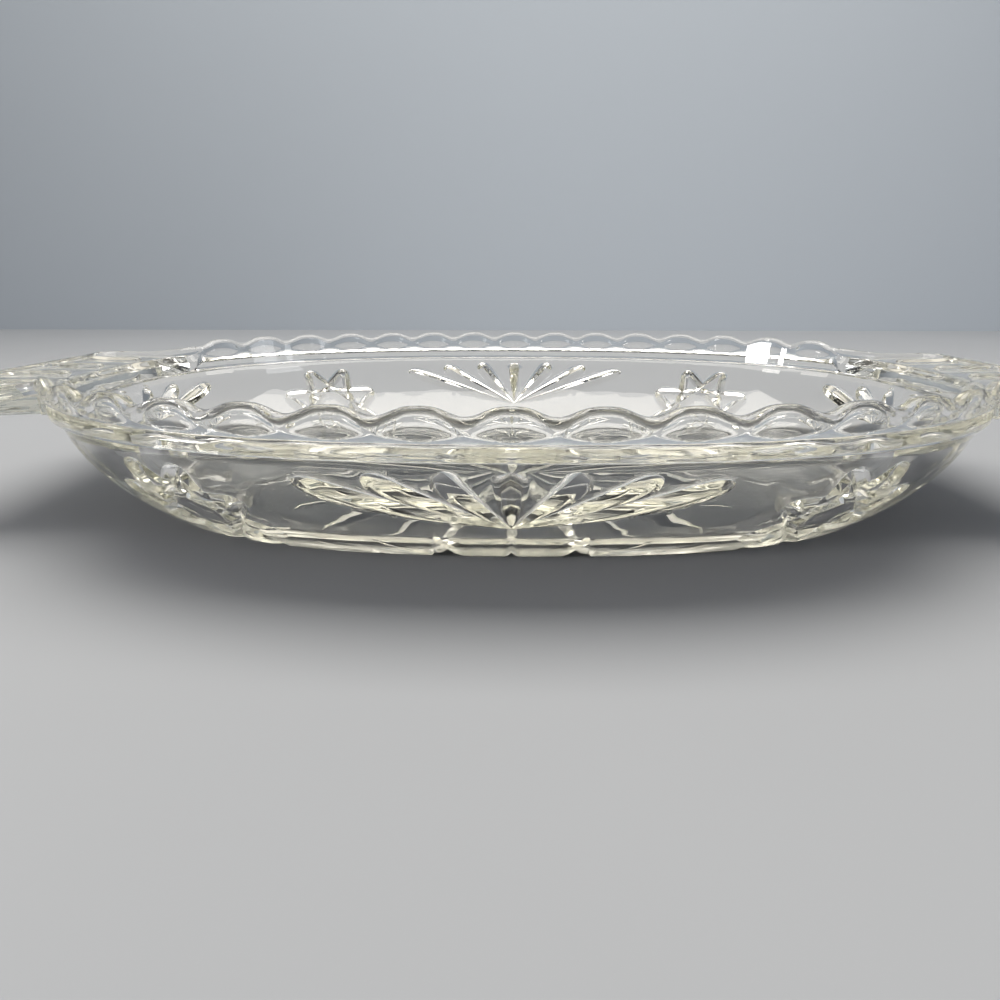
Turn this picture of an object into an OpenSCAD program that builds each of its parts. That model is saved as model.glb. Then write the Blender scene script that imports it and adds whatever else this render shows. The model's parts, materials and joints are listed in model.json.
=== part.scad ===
// Oval relish tray of clear pressed glass: a sloping bowl with mitre-cut fans and stars,
// a scalloped collar on its long sides and a ribbed tab handle at each end.
// Millimetres, +Z up. The origin is the centre of the resting face.
// The real tray is one pressing. Its regions are separate solids here that meet face to face.

/* [Tray] */
// Length of the rim oval, without the handles
rim_length = 208; // [196:1:216]
// Width of the rim oval
rim_width = 144; // [134:1:154]
// Height from the resting face to the highest scallop
tray_height = 34.4; // [31:0.2:40]
// How square the oval is, where 2 is an ellipse
oval_power = 2.4; // [2:0.1:3]

/* [Bowl] */
// Thickness of the floor
floor_thick = 5; // [4.4:0.1:6.5]
// Thickness of the wall, square to it
wall_thick = 3.9; // [3.4:0.1:4.6]
// How far the resting face stands in from the rim oval on the long sides
foot_inset_side = 26.4; // [24:0.2:29]
// How far the resting face stands in from the rim oval at the ends
foot_inset_end = 20; // [18:0.2:24]
// How far the wall bellies out past a straight slope
wall_belly = 3.5; // [2:0.1:4.2]
// Bevel between the wall and the resting face
foot_bevel = 0.8; // [0.4:0.1:1.5]
// Width of the round between the inner wall and the floor
floor_round = 5; // [3:0.5:7]

/* [Collar] */
// Number of scallops on each long side, always odd
scallop_count = 15; // [11:2:19]
// Depth of the dips between scallops
scallop_depth = 1.6; // [0.8:0.1:2.4]
// Height of the collar, from the scallops' crests to its underside
collar_height = 9; // [8:0.2:11]
// Thickness of the collar's rounded lip
lip_thick = 3; // [2.4:0.1:3.6]
// How far the collar's foot stands in from its lip
collar_lean = 1.2; // [0.6:0.1:2]
// Depth of the oval thumbprint on each scallop
thumbprint_depth = 1.1; // [0.4:0.1:1.3]
// Height of the bead under the thumbprints
bead_height = 3; // [1.6:0.1:3.4]
// Depth of the groove above the bead
bead_groove = 0.6; // [0.3:0.1:0.9]
// How far the collar overhangs the bowl's outer wall
collar_overhang = 1.8; // [1.2:0.1:2.6]
// Width of the level shoulder inside the collar
shoulder_width = 2.2; // [1.4:0.1:3]
// Height of the part of the wall that belongs to the collar's foot
collar_foot = 1.5; // [1:0.1:2.5]
// Drop of the rim from the scallops' crests to the handles
handle_drop = 4; // [3.6:0.1:4.8]
// Length of the slope between the last scallop and a handle
slope_length = 4.4; // [3:0.1:7]

/* [Handles] */
// How far a handle reaches past the end of the rim oval
handle_reach = 20.5; // [16:0.5:26]
// Width of a handle where it leaves the rim
handle_root_width = 66; // [52:1:74]
// Width of a handle at its outer edge
handle_edge_width = 76; // [64:1:84]
// Radius of a handle's corners
handle_corner = 6; // [4:0.5:9]
// Width of the raised border round a handle
border_width = 2.6; // [2:0.1:3.5]
// Height of the raised border and the ribs
rib_height = 0.8; // [0.5:0.1:1.2]
// Radius of the ribs' round backs
rib_radius = 1.6; // [1.3:0.1:2.2]
// Number of ribs on each handle
rib_count = 4; // [2:1:5]
// Distance between the ribs at the outer edge
rib_spacing = 16.3; // [12:0.1:16.5]
// Bare strip between the rim and the start of a rib
rib_setback = 3.5; // [2.5:0.1:5]

/* [Fans] */
// Number of petals on each side of a fan's middle petal
petal_pairs = 3; // [2:1:3]
// Length of a fan's middle petal
petal_length = 15.6; // [13:0.2:16.6]
// Sideways step from one petal's tip to the next
petal_step = 12; // [9:0.5:12.5]
// Width of a petal
petal_width = 6; // [3.6:0.1:7]
// Depth of a petal's mitre cut
petal_depth = 1.7; // [0.8:0.1:1.9]
// Distance from the collar down the wall to the point where a fan's petals meet
fan_root = 17.6; // [17:0.1:19]

/* [Stars] */
// Distance along the rim from the middle of a long side to a star
star_place = 66; // [60:1:70]
// Distance from the collar down the wall to a star's centre
star_middle = 17.8; // [17:0.1:18.5]
// Radius of a star over its points
star_radius = 15.6; // [13:0.1:16]
// Width of a star's mitre cuts
star_cut_width = 3.6; // [2:0.1:4.4]
// Depth of a star's mitre cuts
star_cut_depth = 1.3; // [0.6:0.1:1.6]

/* [Underside] */
// Number of rays in the star under the floor
ray_count = 24; // [16:4:28]
// How far the star's rays reach past the resting face and up the wall on the long sides
ray_climb = 9.4; // [2:0.2:11]
// Radius of the plain button at the star's centre
ray_start = 5; // [4:0.5:8]
// Width of a large ray
ray_width = 7; // [4:0.2:8]
// Depth of a large ray
ray_depth = 1.3; // [0.8:0.1:1.8]
// Width and depth of the small rays between them, as a share of the large ones
small_ray_share = 0.5; // [0.4:0.05:1]

/* [Hidden] */

clear_glass = [0.86, 0.89, 0.87, 0.55];
star_points = 8;
quarter_turn = 90;
half_turn = 180;
full_turn = 360;
half_length = rim_length / 2;
half_width = rim_width / 2;
handle_end = half_length + handle_reach;
ray_reach = half_width - foot_inset_side + ray_climb;

// Heights of the levels, from the resting face up
ledge_level = tray_height - collar_height;
seam_level = ledge_level - collar_foot;
handle_level = tray_height - handle_drop;
handle_thick = handle_level - ledge_level;
shoulder_rise = 0.6;

ledge_inset = collar_lean + collar_overhang;

// Facets: samples of one quarter of the oval, stations on a scallop, a slope and a half handle
arc_steps = 180;
scallop_steps = 6;
slope_steps = 2;
end_steps = 6;
lip_steps = 4;
wall_steps = 4;
corner_steps = 6;
$fn = 32;

// How far the cutting solids stand out of the surface that they cut
overrun = 1.2;
// Distance between the points that give a surface's direction
probe = 0.2;
// Width and depth of a mitre cut at a pointed and at a blunt end, as shares of its full size
point_share = 0.04;
blunt_share = 0.35;
// Place and size of the stations along a petal, a ray and a star's cut, as shares
leaf_shares = [[0, point_share], [0.45, 0.75], [0.86, 1], [1, blunt_share]];
ray_shares = [[0, point_share], [0.35, 0.85], [0.75, 1], [1, blunt_share]];
bar_shares = [[0, blunt_share], [0.12, 1], [0.88, 1], [1, blunt_share]];
// Furthest out that a ray may have its bend at the edge of the foot, as a share of its length
bend_share = 0.95;
// How much lower a fan's outermost tips lie, as a share of the middle petal's length
fan_droop_share = 0.17;
// How far the round between wall and floor is hollowed, as a share of its width
round_share = 0.1;
// How far in the ribs start at the rim, as a share of their spacing at the outer edge
rib_fan_share = 0.86;

// A point of the oval with half sizes of 1, by the angle from the middle of a long side
function unit_oval(angle) =
    let (size = pow(pow(abs(sin(angle)), oval_power) + pow(abs(cos(angle)), oval_power), 1 / oval_power))
    [sin(angle), cos(angle)] / size;
// A point of the rim oval, drawn in at the ends and on the sides
function oval_xy(angle, end_inset, side_inset) =
    let (unit = unit_oval(angle))
    [(half_length - end_inset) * unit.x, (half_width - side_inset) * unit.y];
function rim_xy(angle) = oval_xy(angle, 0, 0);
function quarter_angle(i) = quarter_turn * i / arc_steps;
function quarter_step(i) = norm(rim_xy(quarter_angle(i + 1)) - rim_xy(quarter_angle(i)));
// Distance along the rim from the middle of a long side, with its angle
arc_table = [for (i = 0, along = 0; i <= arc_steps; along = along + quarter_step(i), i = i + 1)
    [along, quarter_angle(i)]];
quarter_length = arc_table[arc_steps][0];
function angle_at(along) = lookup(along, arc_table);

// Where the handle starts along the rim, and the scallops that fill the rest of the side
root_table = [for (row = arc_table) [rim_xy(row[1]).y, row[0]]];
handle_start = lookup(handle_root_width / 2, root_table);
scallop_end = handle_start - slope_length;
scallop_pitch = 2 * scallop_end / scallop_count;
side_steps = scallop_count * scallop_steps / 2;

// Stations along one quarter of the rim, then all round it with the signs of X and Y
quarter_stations = concat(
    [for (i = [0:side_steps - 1]) scallop_end * i / side_steps],
    [for (i = [0:slope_steps - 1]) scallop_end + slope_length * i / slope_steps],
    [for (i = [0:end_steps]) handle_start + (quarter_length - handle_start) * i / end_steps]);
last = len(quarter_stations) - 1;
stations = concat(
    [for (i = [0:last - 1]) [1, 1, quarter_stations[last - i]]],
    [for (i = [0:last - 1]) [-1, 1, quarter_stations[i]]],
    [for (i = [0:last - 1]) [-1, -1, quarter_stations[last - i]]],
    [for (i = [0:last - 1]) [1, -1, quarter_stations[i]]]);
// The bowl and the floor have no scallops, so every other station is enough for them
plain_stations = [for (i = [0:2:len(stations) - 1]) stations[i]];

// A spot of a section holds its inset at the ends, its inset on the sides and its height
function even(inset, level) = [inset, inset, level];
function place(station, spot) =
    let (flat = oval_xy(angle_at(station[2]), spot[0], spot[1]))
    [station[0] * flat.x, station[1] * flat.y, spot[2]];

// A ring round the oval: one closed section of spots at each of its stations
module oval_ring(round_stations, sections) {
    size = len(sections[0]);
    count = len(round_stations);
    polyhedron(
        points = [for (i = [0:count - 1]) for (spot = sections[i]) place(round_stations[i], spot)],
        faces = [for (i = [0:count - 1]) for (k = [0:size - 1])
            let (a = i * size, b = (i + 1) % count * size, n = (k + 1) % size)
            for (face = [[a + k, a + n, b + n], [a + k, b + n, b + k]]) face]);
}

// A solid slab inside the oval: its edge is a list of spots from the bottom up
module oval_slab(edge) {
    rows = len(edge);
    count = len(plain_stations);
    polyhedron(
        points = [for (spot = edge) for (station = plain_stations) place(station, spot)],
        faces = concat(
            [[for (i = [0:count - 1]) i]],
            [[for (i = [0:count - 1]) rows * count - 1 - i]],
            [for (k = [0:rows - 2]) for (i = [0:count - 1])
                let (n = (i + 1) % count, a = k * count, b = (k + 1) * count)
                for (face = [[a + i, b + i, b + n], [a + i, b + n, a + n]]) face]));
}

// The outer wall by the drop below the collar, thickened square to its slope
function wall_share(drop) = drop / ledge_level;
function wall_bulge(drop) = 4 * wall_belly * wall_share(drop) * (1 - wall_share(drop));
function wall_run(drop, foot_inset) =
    (foot_inset - ledge_inset - 4 * wall_belly * (1 - 2 * wall_share(drop))) / ledge_level;
function wall_inset(drop, foot_inset) =
    ledge_inset + (foot_inset - ledge_inset) * wall_share(drop) - wall_bulge(drop);
function wall_spot(drop, thick = 0) =
    let (level_thick = thick * norm([1, wall_run(drop, foot_inset_side)]))
    [wall_inset(drop, foot_inset_end) + level_thick, wall_inset(drop, foot_inset_side) + level_thick,
        ledge_level - drop];
// The drop by the distance down the wall from the collar, measured on a long side
slope_step = ledge_level / arc_steps;
slope_table = [
    for (drop = 0, down = 0; drop <= ledge_level;
        down = down + slope_step * norm([1, wall_run(drop, foot_inset_side)]), drop = drop + slope_step)
    [down, drop]];

// Where a distance to the side of a motif falls on the rim: the oval is shorter further in
function rim_along(middle, aside, drop) =
    middle + aside * half_length / (half_length - wall_inset(drop, foot_inset_end));
// The angle of a place on the rim, past the ends of the quarter too
function full_angle(along) =
    along < 0 ? -angle_at(-along) :
    along > quarter_length ? half_turn - angle_at(2 * quarter_length - along) : angle_at(along);
function wall_point(along, drop) =
    let (spot = wall_spot(drop), flat = oval_xy(full_angle(along), spot[0], spot[1]))
    [flat.x, flat.y, spot[2]];
// The outward direction square to the wall
function wall_normal(along, drop) =
    let (
        across = wall_point(along + probe, drop) - wall_point(along - probe, drop),
        down = wall_point(along, drop + probe) - wall_point(along, drop - probe),
        out = cross(across, down))
    out / norm(out);

// The three corners of a mitre cut's section: its edge lies in the glass, its back stands out of it
function wedge(point, out, heading, width, depth) =
    let (
        side = cross(out, heading) / norm(cross(out, heading)),
        half = width / 2 * (depth + overrun) / depth)
    [point - out * depth, point + out * overrun + side * half, point + out * overrun - side * half];

// A mitre cut: a V-shaped groove along a path of surface points with their normals. As links, its
// stretches are hulls of their own
module mitre_cut(path, normals, shares, width, depth, links) {
    count = len(path);
    heading = (path[count - 1] - path[0]) / norm(path[count - 1] - path[0]);
    wedges = [for (i = [0:count - 1])
        wedge(path[i], normals[i], heading, width * shares[i][1], depth * shares[i][1])];
    if (links)
        for (i = [0:count - 2]) hull() wedge_loft([wedges[i], wedges[i + 1]]);
    else
        wedge_loft(wedges);
}

// A solid that joins wedges in their order
module wedge_loft(wedges) {
    end = 3 * (len(wedges) - 1);
    polyhedron(
        points = [for (corners = wedges) for (corner = corners) corner],
        faces = concat(
            [[0, 1, 2], [end + 2, end + 1, end]],
            [for (a = [0:3:end - 3]) for (k = [0:2])
                let (n = (k + 1) % 3)
                for (face = [[a + k, a + 3 + k, a + 3 + n], [a + k, a + 3 + n, a + n]]) face]));
}

// A mitre cut on the wall between two spots, each a distance aside and a distance down the wall
module wall_cut(middle, from, to, shares, width, depth, links) {
    spots = [for (share = shares) from + (to - from) * share[0]];
    drops = [for (spot = spots) lookup(spot.y, slope_table)];
    alongs = [for (i = [0:len(spots) - 1]) rim_along(middle, spots[i].x, drops[i])];
    mitre_cut([for (i = [0:len(spots) - 1]) wall_point(alongs[i], drops[i])],
        [for (i = [0:len(spots) - 1]) wall_normal(alongs[i], drops[i])], shares, width, depth, links);
}

// Fan of petals that spread upwards from one point, on the wall at a place along the rim
module fan_cuts(middle, links) {
    for (i = [-petal_pairs:petal_pairs]) {
        rise = petal_length * (1 - fan_droop_share * pow(i / petal_pairs, 2));
        wall_cut(middle, [0, fan_root], [i * petal_step, fan_root - rise],
            leaf_shares, petal_width, petal_depth, links);
    }
}

function star_point(i) =
    let (turn = full_turn * (i + 1 / 2) / star_points)
    [star_radius * sin(turn), star_middle - star_radius * cos(turn)];
// Star with eight points: each cut runs from one point to the third after it
module star_cuts(middle, links) {
    for (i = [0:star_points - 1])
        wall_cut(middle, star_point(i), star_point(i + 3),
            bar_shares, star_cut_width, star_cut_depth, links);
}
// The same star in each quarter of the wall
module four_stars(links) {
    for (turn = [0, 1]) for (turn_y = [0, 1])
        mirror([turn, 0, 0]) mirror([0, turn_y, 0]) star_cuts(star_place, links);
}

// Radius of the outer wall at a drop below the collar, in a direction seen from above
function wall_radius(heading, drop) =
    let (
        length = half_length - wall_inset(drop, foot_inset_end),
        width = half_width - wall_inset(drop, foot_inset_side))
    1 / pow(pow(abs(heading.x) / length, oval_power) + pow(abs(heading.y) / width, oval_power),
        1 / oval_power);
// Level of the underside by its radius: zero on the foot, then up the wall
function under_table(heading) = [for (i = [0:arc_steps])
    let (level = ledge_level * i / arc_steps) [wall_radius(heading, ledge_level - level), level]];

// Star of large and small rays by turns under the floor, which run up the foot of the long sides
module ray_cuts(links) {
    for (i = [0:ray_count - 1]) {
        size = i % 2 == 0 ? small_ray_share : 1;
        angle = quarter_turn + full_turn * i / ray_count;
        heading = [cos(angle), sin(angle), 0];
        table = under_table(heading);
        length = ray_reach - ray_start;
        bend = min((wall_radius(heading, ledge_level) - ray_start) / length, bend_share);
        places = concat([for (share = ray_shares) if (share[0] < 1) share[0]], [bend, 1]);
        radii = [for (share = places) ray_start + length * share];
        slopes = [for (radius = radii)
            (lookup(radius + probe, table) - lookup(radius - probe, table)) / 2 / probe];
        mitre_cut(
            [for (radius = radii) [heading.x * radius, heading.y * radius, lookup(radius, table)]],
            [for (slope = slopes) [heading.x * slope, heading.y * slope, -1] / norm([slope, 1])],
            [for (share = places) [share, lookup(share, ray_shares)]],
            ray_width * size, ray_depth * size, links);
    }
}

// Section of the scalloped collar, where the drop and the thumbprint follow the scallops
function scallop_section(along) =
    let (
        phase = half_turn * along / scallop_pitch,
        crest = tray_height - scallop_depth * pow(abs(sin(phase)), 3),
        hollow = thumbprint_depth * pow(cos(phase), 2),
        bead_top = ledge_level + bead_height,
        groove_top = bead_top + bead_groove,
        lip = lip_thick / 2,
        print_level = (groove_top + crest - lip) / 2)
    concat(
        [wall_spot(collar_foot), even(ledge_inset, ledge_level), even(collar_lean, ledge_level),
            even(collar_lean, bead_top), even(collar_lean + bead_groove, groove_top),
            even(collar_lean / 2 + hollow, print_level)],
        [for (i = [0:lip_steps])
            let (turn = half_turn * i / lip_steps)
            even(lip * (1 - cos(turn)), crest - lip + lip * sin(turn))]);

// Heights of the points up the rim's face at a handle, as shares of the handle's thickness
face_shares = [0.25, 0.5, 0.75];
// Section of the plain rim at a handle: an upright outer face that the handle sits against
function plain_section() =
    let (lip = lip_thick / 2)
    concat(
        [wall_spot(collar_foot), even(ledge_inset, ledge_level), even(0, ledge_level)],
        [for (share = face_shares) even(0, ledge_level + handle_thick * share)],
        [for (i = [0:lip_steps])
            let (turn = half_turn * i / lip_steps)
            even(lip * (1 - cos(turn)),
                handle_level - (turn > quarter_turn ? lip * (1 - sin(turn)) : 0))]);

// Inside of the collar and its shoulder, down to the seam with the bowl
foot_inside = collar_lean + lip_thick;
shoulder_level = ledge_level + shoulder_rise;
inner_section = [even(foot_inside, shoulder_level + shoulder_rise),
    even(foot_inside + shoulder_rise, shoulder_level),
    even(foot_inside + shoulder_width, shoulder_level), wall_spot(collar_foot, wall_thick)];

function rim_section(along) =
    let (plain = max(0, min(1, (along - scallop_end) / slope_length)),
        scallop = scallop_section(min(along, scallop_end)))
    concat(scallop * (1 - plain) + plain_section() * plain, inner_section);

// Drops of a number of rows spread evenly over a stretch of the wall
function rows(from, to) = [for (i = [0:wall_steps]) from + (to - from) * i / wall_steps];

// Oval floor with the bottom of the wall's slope, cut by the rays and the stars' lower points
module base() {
    foot = wall_spot(ledge_level);
    color(clear_glass) difference() {
        oval_slab([foot + [foot_bevel, foot_bevel, 0], wall_spot(ledge_level - foot_bevel),
            wall_spot(ledge_level - floor_thick / 2), wall_spot(ledge_level - floor_thick)]);
        ray_cuts(links = false);
        four_stars(links = false);
    }
}

// Sloping wall between the floor and the collar, with fans and stars cut in its outside
module bowl() {
    floor_drop = ledge_level - floor_thick;
    round_drop = floor_drop - floor_round;
    toe = wall_spot(floor_drop, wall_thick) + [floor_round, floor_round, 0];
    knee = (toe + wall_spot(round_drop, wall_thick)) / 2 - even(round_share, round_share) * floor_round;
    section = concat(
        [for (drop = rows(floor_drop, collar_foot)) wall_spot(drop)],
        [for (drop = rows(collar_foot, round_drop)) wall_spot(drop, wall_thick)],
        [knee, toe]);
    color(clear_glass) difference() {
        oval_ring(plain_stations, [for (station = plain_stations) section]);
        for (turn = [0, 1]) {
            mirror([0, turn, 0]) fan_cuts(0, links = true);
            mirror([turn, 0, 0]) fan_cuts(quarter_length, links = true);
        }
        four_stars(links = true);
        ray_cuts(links = true);
    }
}

// Collar round the rim: scallops with thumbprints on the long sides, plain at the handles
module scalloped_rim() {
    color(clear_glass) oval_ring(stations, [for (station = stations) rim_section(station[2])]);
}

// Points where a handle meets the rim, from its near side to its far side
root_half = [for (i = [0:end_steps]) rim_xy(angle_at(quarter_stations[last - end_steps + i]))];
root_points = concat(
    [for (i = [0:end_steps]) [root_half[i].x, -root_half[i].y]],
    [for (i = [1:end_steps]) root_half[end_steps - i]]);

// Outer outline of a handle, from its far side to its near side, drawn in by the inset
function handle_edge(inset) =
    let (
        round = handle_corner - inset,
        out = handle_end - inset,
        half = handle_edge_width / 2 - inset,
        turns = [for (i = [0:corner_steps]) quarter_turn * (1 - i / corner_steps)])
    concat(
        [for (turn = turns) [out - round + round * cos(turn), half - round + round * sin(turn)]],
        [for (turn = turns) [out - round + round * sin(turn), round - half - round * cos(turn)]]);

// Tab handle at the right end: a flat plate with a raised border and ribs on top
module handle() {
    foot = half_length - rib_setback;
    reverse_root = [for (i = [len(root_points) - 1:-1:0]) root_points[i]];
    translate([0, 0, ledge_level]) linear_extrude(height = handle_thick)
        polygon(concat(root_points, handle_edge(0)));
    difference() {
        translate([0, 0, handle_level]) linear_extrude(height = rib_height)
            polygon(concat(root_points, handle_edge(0)));
        translate([0, 0, handle_level]) linear_extrude(height = rib_height + overrun)
            polygon(concat(
                [[foot - handle_root_width / 2, -handle_root_width / 2 + border_width],
                    [foot - handle_root_width / 2, handle_root_width / 2 - border_width]],
                handle_edge(border_width)));
    }
    for (i = [0:rib_count - 1]) {
        aside = rib_spacing * (i - (rib_count - 1) / 2);
        rib(aside);
    }
}

// One rib of a handle, from near the rim to the border
module rib(aside) {
    root = lookup(abs(aside) * rib_fan_share, [for (point = root_half) [point.y, point.x]]);
    start = [root + rib_setback, aside * rib_fan_share, handle_level + rib_height - rib_radius];
    end = [handle_end - border_width / 2, aside, start.z];
    run = end - start;
    translate(start) {
        sphere(r = rib_radius);
        rotate([0, quarter_turn, atan2(run.y, run.x)]) cylinder(r = rib_radius, h = norm(run));
    }
}

module right_handle() {
    color(clear_glass) handle();
}

module left_handle() {
    color(clear_glass) mirror([1, 0, 0]) handle();
}

base();
bowl();
scalloped_rim();
left_handle();
right_handle();
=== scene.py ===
"""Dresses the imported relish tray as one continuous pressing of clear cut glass.

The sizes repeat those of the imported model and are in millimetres. Each mesh is built where the
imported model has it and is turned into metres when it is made.
"""

import json
import logging
import math
from bisect import bisect_right
from dataclasses import dataclass, field
from enum import Enum
from functools import cached_property

import bmesh
import bpy
from bpy.types import Collection, Material, Mesh, Node, NodeSocket, Object
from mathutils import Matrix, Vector

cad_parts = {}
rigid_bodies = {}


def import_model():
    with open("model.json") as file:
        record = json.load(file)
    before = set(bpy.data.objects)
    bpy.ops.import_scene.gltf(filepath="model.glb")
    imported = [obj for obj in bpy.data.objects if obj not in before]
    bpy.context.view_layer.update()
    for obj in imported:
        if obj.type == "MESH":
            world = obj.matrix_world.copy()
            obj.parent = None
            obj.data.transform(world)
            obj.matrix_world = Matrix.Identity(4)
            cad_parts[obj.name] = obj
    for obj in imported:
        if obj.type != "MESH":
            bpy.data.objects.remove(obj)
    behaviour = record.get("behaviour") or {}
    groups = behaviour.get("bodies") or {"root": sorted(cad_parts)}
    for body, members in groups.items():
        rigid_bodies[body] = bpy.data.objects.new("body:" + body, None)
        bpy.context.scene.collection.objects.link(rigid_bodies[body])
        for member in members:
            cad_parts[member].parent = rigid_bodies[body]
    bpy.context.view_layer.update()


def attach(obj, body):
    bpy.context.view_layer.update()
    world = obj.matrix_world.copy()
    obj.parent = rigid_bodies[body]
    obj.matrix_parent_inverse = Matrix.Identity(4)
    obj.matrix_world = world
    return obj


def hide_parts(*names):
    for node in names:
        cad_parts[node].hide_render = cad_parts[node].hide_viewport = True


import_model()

log = logging.getLogger("relish_tray")

MM = 0.001
CM3_IN_M3 = 1e6
BODY = "root"
GLASS_NODES = ("base", "bowl", "scalloped_rim", "left_handle", "right_handle")
GLASS_BOUNCES = 32
QUARTER_TURN = math.pi / 2
UP = Vector((0.0, 0.0, 1.0))

Spot = tuple[float, float, float]
Color = tuple[float, float, float, float]
Station = tuple[Vector, Vector, float]

# Right half of a mitre cut's section: shares of its width aside, its depth and its overrun up.
MITRE_SHOULDERS = (
    (0.27, -0.22, 0.0),
    (0.36, -0.09, 0.0),
    (0.45, -0.03, 0.0),
    (0.54, 0.03, 0.0),
    (0.56, 0.03, 1.0),
)

# The setting that picks what each of these nodes does.
NODE_SETTINGS = {
    "ShaderNodeMath": "operation",
    "ShaderNodeVectorMath": "operation",
    "ShaderNodeMix": "data_type",
    "ShaderNodeMapRange": "interpolation_type",
    "GeometryNodeInputNamedAttribute": "data_type",
    "GeometryNodeSetCurveNormal": "mode",
}


def parts(steps: int) -> list[float]:
    """Gives the marks that divide 0 to 1 into even steps."""
    return [i / steps for i in range(steps + 1)]


def arc(first: float, last: float, steps: int) -> list[tuple[float, float]]:
    """Gives marks along an arc of even steps.

    Args:
        first: Where it starts, in quarter turns.
        last: Where it ends, in quarter turns.
        steps: Number of its steps.

    Returns:
        The cosine and the sine of each mark.
    """
    turns = [QUARTER_TURN * (first + (last - first) * part) for part in parts(steps)]
    return [(math.cos(turn), math.sin(turn)) for turn in turns]


def smooth(value: float) -> float:
    """Eases a value between 0 and 1, with level ends."""
    value = max(0.0, min(1.0, value))
    return value * value * (3 - 2 * value)


def bend(place: float, *spots: Spot) -> Spot:
    """Gives a spot of the bend from the first spot to the third that heads for the second."""
    low, mid, high = (1 - place) ** 2, 2 * place * (1 - place), place**2
    return tuple(low * a + mid * b + high * c for a, b, c in zip(*spots))


def even(inset: float, level: float) -> Spot:
    """Gives a spot that is drawn in alike at the ends and on the sides."""
    return inset, inset, level


def lookup(value: float, table: list[tuple[float, float]]) -> float:
    """Reads a table of rising keys, with straight lines between its rows.

    Args:
        value: The key to read at.
        table: Rows of key and result.

    Returns:
        The result, held at the table's ends.
    """
    place = bisect_right(table, (value, math.inf))
    if place == 0:
        return table[0][1]
    if place == len(table):
        return table[-1][1]
    (low, first), (high, second) = table[place - 1], table[place]
    return first + (second - first) * (value - low) / (high - low)


class Section(Enum):
    """Cross-sections that the sweeping tree can carry along a path, with the tree's sizes."""

    MITRE = ("Width", "Depth", "Overrun")
    ROUND = ("Radius",)


class Leaf(Enum):
    """Outlines of the mitre cuts: where each is at its full width, and how fast it gets there."""

    PETAL = (0.86, 1.8)
    RAY = (0.76, 3.0)
    BAR = (0.90, 0.0)

    @property
    def tip(self) -> float:
        """Place along the cut where its rounded end starts."""
        return self.value[0]

    def places(self, count: int, tip_count: int = 6) -> list[float]:
        """Gives places along a cut, close together where it is rounded.

        Args:
            count: Number of steps up to the rounded end.
            tip_count: Number of steps round that end.

        Returns:
            The places, from 0 to 1.
        """
        end = [self.tip + (1 - self.tip) * sine for _, sine in arc(0, 1, tip_count)[1:]]
        if self is Leaf.BAR:
            start = [1 - place for place in reversed(end)]
            return start + [1 - self.tip + (2 * self.tip - 1) * part for part in parts(count)] + end
        return [self.tip * part for part in parts(count)] + end

    def share(self, place: float, blunt_end: float = 0.12, sharp_end: float = 0.04) -> float:
        """Gives the width and depth of a cut at a place along it.

        Args:
            place: Distance from the cut's start, as a share of its length.
            blunt_end: Least share at a rounded end.
            sharp_end: Least share at a pointed start.

        Returns:
            The share of the cut's full width and depth.
        """
        if self is Leaf.BAR:
            place = max(place, 1 - place)
        if place > self.tip:
            turn = min(1.0, (place - self.tip) / (1 - self.tip))
            return max(blunt_end, math.sqrt(1 - turn**2))
        if self is Leaf.BAR:
            return 1.0
        return max(sharp_end, 1 - (1 - place / self.tip) ** self.value[1])


@dataclass(frozen=True)
class OvalRim:
    """The oval that the rim, the wall and the foot follow."""

    length: float = 208.0
    width: float = 144.0
    power: float = 2.4
    samples: int = 720

    def xy(
        self, angle: float, end_inset: float = 0.0, side_inset: float = 0.0
    ) -> tuple[float, float]:
        """Gives a point of the oval drawn in at its ends and on its sides.

        Args:
            angle: Angle from the middle of a long side, in radians.
            end_inset: How far the oval is drawn in at the ends.
            side_inset: How far it is drawn in on the long sides.

        Returns:
            The point's X and Y.
        """
        across, along = math.sin(angle), math.cos(angle)
        size = (abs(across) ** self.power + abs(along) ** self.power) ** (1 / self.power)
        half_length, half_width = self.length / 2 - end_inset, self.width / 2 - side_inset
        return half_length * (across / size), half_width * (along / size)

    @cached_property
    def angles(self) -> list[tuple[float, float]]:
        """Measures a quarter of the rim.

        Returns:
            Rows of the distance along it and the angle there.
        """
        rows, along, before = [], 0.0, self.xy(0.0)
        for part in parts(self.samples):
            point = self.xy(QUARTER_TURN * part)
            along += math.dist(point, before)
            rows.append((along, QUARTER_TURN * part))
            before = point
        return rows

    @property
    def quarter(self) -> float:
        """Length of a quarter of the rim."""
        return self.angles[-1][0]

    def angle_at(self, along: float) -> float:
        """Gives the angle of a place along the rim, past both ends of the first quarter too.

        Args:
            along: Distance along the rim from the middle of a long side.

        Returns:
            The angle, in radians.
        """
        if along < 0:
            return -self.angle_at(-along)
        if along > self.quarter:
            return math.pi - self.angle_at(2 * self.quarter - along)
        return lookup(along, self.angles)

    def along_at_y(self, y: float) -> float:
        """Gives the place along the rim where its half width has come down to y."""
        return lookup(-y, [(-self.xy(angle)[1], along) for along, angle in self.angles])


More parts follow.
